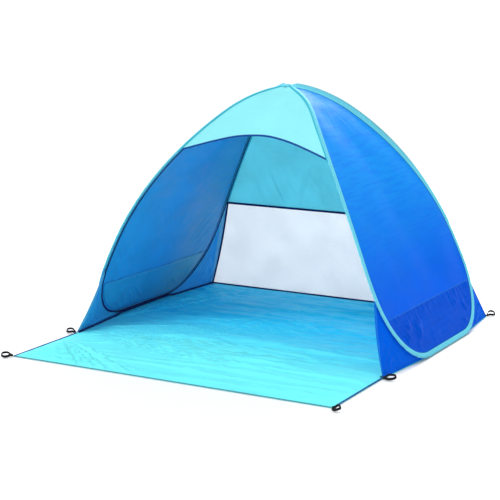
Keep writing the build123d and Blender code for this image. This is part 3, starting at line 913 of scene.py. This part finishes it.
across = np.linspace(-1, 1, FLOOR_COLUMNS)[None, :]
x = across * floor_edge(along_y)
y = along_y + 0 * x
edge_room = np.minimum(1 - np.abs(across), 1) * HALF_WIDTH
edge_room = np.minimum(edge_room, np.minimum(y - FLOOR_LOW.y, FLOOR_HIGH.y - y) * 1.2)
flat_edge = ease(edge_room, 0.0, 0.06)
fan_x, fan_y = x + HALF_WIDTH, y - MIDDLE_Y
spokes = np.arctan2(fan_y, fan_x + 0.12)
reach = np.hypot(fan_x, fan_y)
fan_fade = ease(reach, 0.08, 0.4) * ease(1.35 - reach, 0, 0.5)
fan_folds = creases(spokes * 1.1, reach * 0.12, 91, 0.07, 0.16, 0.0, 0.25, sharp=0.3, patch=0.9)
lift = 0.0185 * fan_folds * fan_fade
lift = lift + 0.0150 * creases(x * 0.30, y, 93, 0.10, 0.22, math.pi / 2, 0.35, sharp=0.28, patch=0.5)
lift = lift + 0.0060 * creases(x, y, 99, 0.14, 0.40, 2.2, 0.6, sharp=0.25, patch=0.4)
lift = lift + 0.0040 * (waves(x * 0.45, y, 95, 0.12, 0.40, math.pi / 2, 0.7) * 0.5 + 0.5)
rear_gap = FLOOR_HIGH.y - y
pucker = np.clip(waves(x, y * 0.25, 97, 0.05, 0.12, 0, 0.3), 0, 2)
lift = lift + 0.0060 * pucker * np.exp(-rear_gap / 0.12) * ease(-x, -0.1, 0.6)
lift = np.clip(lift, 0, 0.024) * flat_edge
foot_part = ease(foot_reach + 0.06 - np.abs(y - CROWN_Y), 0.0, 0.06)
lift = lift + FOOT_UP * foot_part * ease(np.abs(x), foot_x - 0.016, foot_x)
grid = np.stack([x, y, 0.0012 + lift], axis=-1)
floor = grid_object("floor_cloth_sheet", grid, np.stack([x, y], -1))
thicken(floor, 0.0008)

HEM_HEIGHT = 0.0020
REAR_TAPE_HEIGHT = 0.0045
HEM_THICK = 0.0024
hem_y = FLOOR_LOW.y + 0.003
tape_y = FLOOR_HIGH.y - 0.006
side_x = HALF_WIDTH - 0.004
front_hem = strip("porch_front_hem_strip", (-HALF_WIDTH, hem_y, HEM_HEIGHT),
                  (HALF_WIDTH, hem_y, HEM_HEIGHT), 120, (0, 1, 0), (0, 0, 1), 0.006, HEM_THICK)
rear_tape = strip("floor_rear_binding", (-HALF_WIDTH, tape_y, REAR_TAPE_HEIGHT),
                  (HALF_WIDTH, tape_y, REAR_TAPE_HEIGHT), 120,
                  (0, 1, 0.6), (0, -0.6, 1), TAPE_WIDTH, HEM_THICK)
side_hem_right = strip("porch_side_hem_strip_right", (side_x, FLOOR_LOW.y + 0.002, HEM_HEIGHT),
                       (side_x, MIDDLE_Y, HEM_HEIGHT), 60, (1, 0, 0), (0, 0, 1), 0.008, 0.0026)
seam_y = np.linspace(MIDDLE_Y + 0.004, FLOOR_HIGH.y - 0.006, 120)
seam_x = floor_edge(seam_y) - 0.0125
seam_z = 0.0060 + FOOT_UP * 0.55 * ease(foot_reach + 0.06 - np.abs(seam_y - CROWN_Y), 0.0, 0.06)
side_seam_right = ribbon("floor_side_binding_right", np.column_stack([seam_x, seam_y, seam_z]),
                         (1, 0, 1.0), (-1, 0, 1), TAPE_WIDTH * 0.9, HEM_THICK)

# ---- peg loops ----
def loop_path(corner_x, corner_y, angle, length, width, twist):
    """The middle of a webbing loop: out from its sewn end, round the eye, and back."""
    t = np.linspace(0, 2 * math.pi, 72)
    out = length * (1 - np.cos(t)) / 2
    wide = width / 2 * np.sin(t) * (0.35 + 0.65 * (1 - np.cos(t)) / 2)
    bend = twist * (out / length) ** 2
    c, s = math.cos(angle), math.sin(angle)
    px = corner_x + out * c - (wide + bend) * s
    py = corner_y + out * s + (wide + bend) * c
    rise = (wide * math.copysign(1, c) + width / 2) * ease(out, 0.0, length * 0.4)
    return np.column_stack([px, py]), rise


LOOP_TALL = 0.0105
LOOP_THICK = 0.0028
LOOP_TILT = 0.45
LOOP_LEAN = 0.25
for name, cx, cy, degrees, length, width, twist in (
    ("front_left", -1, FLOOR_LOW.y, 236, 0.050, 0.034, 0.006),
    ("front_right", 1, FLOOR_LOW.y, -58, 0.050, 0.036, 0.012),
    ("middle_left", -1, MIDDLE_Y, 190, 0.042, 0.030, 0.004),
    ("middle_right", 1, MIDDLE_Y, -20, 0.052, 0.036, 0.016),
    ("rear_left", -1, FLOOR_HIGH.y, 122, 0.044, 0.032, 0.003),
    ("rear_right", 1, FLOOR_HIGH.y, 55, 0.042, 0.036, 0.0),
):
    flat_path, rise = loop_path(cx * (HALF_WIDTH + 0.001), cy, math.radians(degrees), length, width, twist)
    flat_path[0] += (flat_path[1] - flat_path[0]) * 0.2
    path3 = np.column_stack([flat_path, LOOP_TALL / 2 + 0.0006 + LOOP_TILT * rise])
    run_x, run_y = np.gradient(flat_path, axis=0).T
    side_way = np.column_stack([run_y, -run_x, 0 * run_x])
    lean = np.array([0, 0, 1]) + unit(side_way) * LOOP_LEAN
    obj = ribbon(f"peg_loop_strap_{name}", path3, lean, side_way, LOOP_TALL, LOOP_THICK)
    dress(obj, "webbing", webbing)
    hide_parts(f"peg_loop_{name}")
    turn = math.radians(degrees)
    if cx < 0:
        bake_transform(obj)
    else:
        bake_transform(obj)

# ---- crown tie: a short sleeve of gathered cloth over the wires' crossing ----
TIE_ROWS, TIE_COLUMNS = 46, 40
TIE_HALF = 0.021
TIE_RADIUS = 0.0140
tie_y = CROWN_Y + np.linspace(-TIE_HALF, TIE_HALF, TIE_ROWS)[:, None]
turn = np.linspace(0, 2 * math.pi, TIE_COLUMNS, endpoint=False)[None, :]
pinch = 1 - 0.26 * bump_at(tie_y, CROWN_Y, 0.005)
radius = TIE_RADIUS * pinch + 0.0012 * np.sin(turn * 7 + tie_y * 190)
radius = radius * (1 - 0.55 * ease(np.abs(tie_y - CROWN_Y), TIE_HALF - 0.006, TIE_HALF))
tie_x, tie_z = np.cos(turn) * radius * 1.25, CROWN.z + np.sin(turn) * radius
tie_grid = np.stack(np.broadcast_arrays(tie_x, tie_y, tie_z), -1)
tie_flat = np.stack(np.broadcast_arrays(tie_y, turn * TIE_RADIUS), -1)
crown_tie = grid_object("crown_tie_cloth", tie_grid, tie_flat, loop_columns=True, shade=0 * radius + 0.006)
thicken(crown_tie, 0.0004)

# ---- finish each piece, let the side pieces ride, and work out the flat cuts' sizes ----
for obj, slot, *materials in (
    (sleeve_right, "sleeve_cloth", sleeve_cloth),
    (side_panel_right, "side_cloth", side_cloth, side_lining),
    (side_tape_right, "binding_tape", binding),
    (side_pocket_right, "pocket_cloth", pocket_cloth),
    (rear_skirt_right, "side_cloth", skirt_cloth, skirt_lining),
    (front_skirt_right, "side_cloth", skirt_cloth, skirt_lining),
    (awning, "awning_cloth", awning_cloth, awning_cloth),
    (awning_hem, "binding_tape", hem_tape),
    (back_wall, "back_cloth", back_cloth, back_cloth),
    (window, "window_mesh", window_cloth),
    (lintel_tape, "binding_tape", binding),
    (side_binding, "binding_tape", binding),
    (floor, "floor_cloth", floor_cloth),
    (front_hem, "binding_tape", pale_hem),
    (rear_tape, "binding_tape", binding),
    (side_hem_right, "binding_tape", hem_tape),
    (side_seam_right, "binding_tape", binding),
    (crown_tie, "sleeve_cloth", sleeve_cloth),
):
    dress(obj, slot, *materials)


def slack_lining(obj):
    """Slack folds low in the left panel, towards the rear seam and up from its front corner."""
    points = np.array([v.co[:] for v in obj.data.vertices])
    y, z = points[:, 1] - CROWN_Y, points[:, 2]
    inner = ease(wire_reach(z) - 0.03 - np.abs(y), 0.0, 0.09) * ease(z, 0.05, 0.14)
    rear = ease(y, -0.05, 0.18) * ease(0.62 - z, 0.0, 0.25)
    front = ease(-y, -0.15, 0.10) * ease(0.60 - z, 0.0, 0.30)
    amount = 0.0090 * creases(y, z, 101, 0.07, 0.15, -0.65, 0.22, sharp=0.45, patch=0.35) * rear
    amount += 0.0045 * creases(y, z, 105, 0.05, 0.11, 0.75, 0.15, sharp=0.4, patch=0.5) * front
    points[:, 0] -= amount * inner
    obj.data.vertices.foreach_set("co", points.astype(np.float32).ravel())
    obj.data.update()


left_of = {}
for obj, node in (
    (sleeve_right, "hoop_sleeve"),
    (side_panel_right, "side_panel"),
    (side_tape_right, "side_tape"),
    (side_pocket_right, "side_pocket"),
    (rear_skirt_right, "rear_skirt"),
    (front_skirt_right, "front_skirt"),
    (side_hem_right, "porch_side_hem"),
    (side_seam_right, "floor_side_tape"),
    (side_binding, "window_side_tape"),
):
    left = mirrored(obj, obj.name.replace("right", "left"))
    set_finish(left, obj["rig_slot"])
    left_of[obj.name] = left
    if node == "side_panel":
        slack_lining(left)
    for side, piece in (("right", obj), ("left", left)):
        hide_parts(f"{node}_{side}")
        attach(piece, f"side_{side}")

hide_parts("crown_tie")
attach(crown_tie, "side_left")
for obj, node in (
    (awning, "awning"),
    (awning_hem, "awning_edge_tape"),
    (back_wall, "back_wall"),
    (window, "window_mesh"),
    (lintel_tape, "window_top_tape"),
    (floor, "floor_sheet"),
    (front_hem, "porch_front_hem"),
    (rear_tape, "floor_rear_tape"),
):
    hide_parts(node)
    blend_over_tent(obj, share_of(obj))


def flat_area(obj):
    """The area of a sheet's flat cut, and the smallest rectangle that it is cut from."""
    mesh = obj.data
    place = np.zeros(len(mesh.vertices) * 3, np.float32)
    mesh.attributes["cloth_place"].data.foreach_get("vector", place)
    place = place.reshape(-1, 3)[:, :2]
    total = 0.0
    for polygon in mesh.polygons:
        p = place[list(polygon.vertices)]
        q = np.roll(p, -1, axis=0)
        total += abs((p[:, 0] * q[:, 1] - p[:, 1] * q[:, 0]).sum()) / 2
    boxes = []
    for turn in np.radians(np.arange(0, 90, 3)):
        across = place @ np.array([math.cos(turn), math.sin(turn)])
        along = place @ np.array([-math.sin(turn), math.cos(turn)])
        boxes.append((float(np.ptp(across)), float(np.ptp(along))))
    return float(total), min(boxes, key=lambda box: box[0] * box[1])


# A rear corner skirt fills 0.266 of its true one, 0.338 by 0.565 m, so the rectangle worked out for it
# is about 6 percent too small each way. The rectangle declared for it is about 6 percent too small
# each way.
LEAST_FILL = 0.301


def declare(obj, rests_on, with_pieces=()):
    """Works out the area of a piece's flat cut and a trimmed size for it; neither is kept."""
    area, size = flat_area(obj)
    area = min(area, size[0] * size[1])
    trim = min(1.0, math.sqrt(area / (LEAST_FILL * size[0] * size[1])))
    size = (size[0] * trim, size[1] * trim)


for side in ("right", "left"):
    pick = (lambda o: o) if side == "right" else (lambda o: left_of[o.name])
    hoops = [f"hoop_wire_front_{side}", f"hoop_wire_rear_{side}"]
    declare(pick(sleeve_right), hoops)
    declare(pick(side_panel_right), [pick(sleeve_right)], [pick(side_tape_right)])
    declare(pick(side_pocket_right), [pick(side_panel_right)])
    declare(pick(rear_skirt_right), [pick(sleeve_right)])
    declare(pick(front_skirt_right), [pick(sleeve_right)])
declare(crown_tie, [sleeve_right, left_of[sleeve_right.name]])
declare(awning, [sleeve_right, left_of[sleeve_right.name]], [awning_hem])
declare(back_wall, [sleeve_right, left_of[sleeve_right.name]])
declare(window, [back_wall, floor], [lintel_tape, side_binding, left_of[side_binding.name]])
declare(floor, [], [front_hem, rear_tape, side_hem_right, left_of[side_hem_right.name],
                            side_seam_right, left_of[side_seam_right.name]])

# ---- camera, at the photograph's angle ----
camera_data = bpy.data.cameras.new("camera")
camera_data.lens = 103.2
camera_data.sensor_width = 36.0
camera_data.clip_end = 1000
camera = bpy.data.objects.new("camera", camera_data)
bpy.context.scene.collection.objects.link(camera)
camera.location = (2.966, -5.446, 1.604)
yaw, pitch = math.radians(29.1), math.radians(11.1)
look = Vector((-math.sin(yaw) * math.cos(pitch), math.cos(yaw) * math.cos(pitch), -math.sin(pitch)))
camera.rotation_mode = "QUATERNION"
camera.rotation_quaternion = look.to_track_quat("-Z", "Y")
bpy.context.scene.camera = camera

# ---- stage and light ----
floor_mesh = bpy.data.meshes.new("stage_floor")
REACH = 400.0
STAGE_HEIGHT = -0.002
stage_corners = [(x * REACH, y * REACH, STAGE_HEIGHT) for x, y in ((-1, -1), (1, -1), (1, 1), (-1, 1))]
floor_mesh.from_pydata(stage_corners, [], [(0, 1, 2, 3)])
stage_floor = bpy.data.objects.new("stage_floor", floor_mesh)
bpy.context.scene.collection.objects.link(stage_floor)
stage_nodes = Nodes("stage_floor")
stage_floor.data.materials.append(stage_nodes.finish(stage_nodes.principled((0.93, 0.93, 0.93, 1), 0.7)))

world = bpy.data.worlds.new("studio")
bpy.context.scene.world = world
world.use_nodes = True
background = world.node_tree.nodes["Background"]
background.inputs["Color"].default_value = (1.0, 1.0, 1.0, 1)
background.inputs["Strength"].default_value = 0.78


def area_light(name, place, target, size, power, colour=(1, 1, 1)):
    data = bpy.data.lights.new(name, "AREA")
    data.shape = "DISK"
    data.size = size
    data.energy = power
    data.color = colour
    obj = bpy.data.objects.new(name, data)
    bpy.context.scene.collection.objects.link(obj)
    obj.location = place
    direction = Vector(target) - Vector(place)
    obj.rotation_mode = "QUATERNION"
    obj.rotation_quaternion = direction.to_track_quat("-Z", "Y")
    return obj


sun_data = bpy.data.lights.new("key", "SUN")
sun_data.energy = 1.5
sun_data.angle = math.radians(30)
sun = bpy.data.objects.new("key", sun_data)
bpy.context.scene.collection.objects.link(sun)
sun.rotation_mode = "QUATERNION"
sun.rotation_quaternion = Vector((0.35, 0.6, -0.9)).to_track_quat("-Z", "Y")
area_light("behind", (-0.4, 3.6, 2.6), (0, 0.6, 0.6), 2.0, 170)
bpy.context.scene.view_settings.view_transform = "Standard"
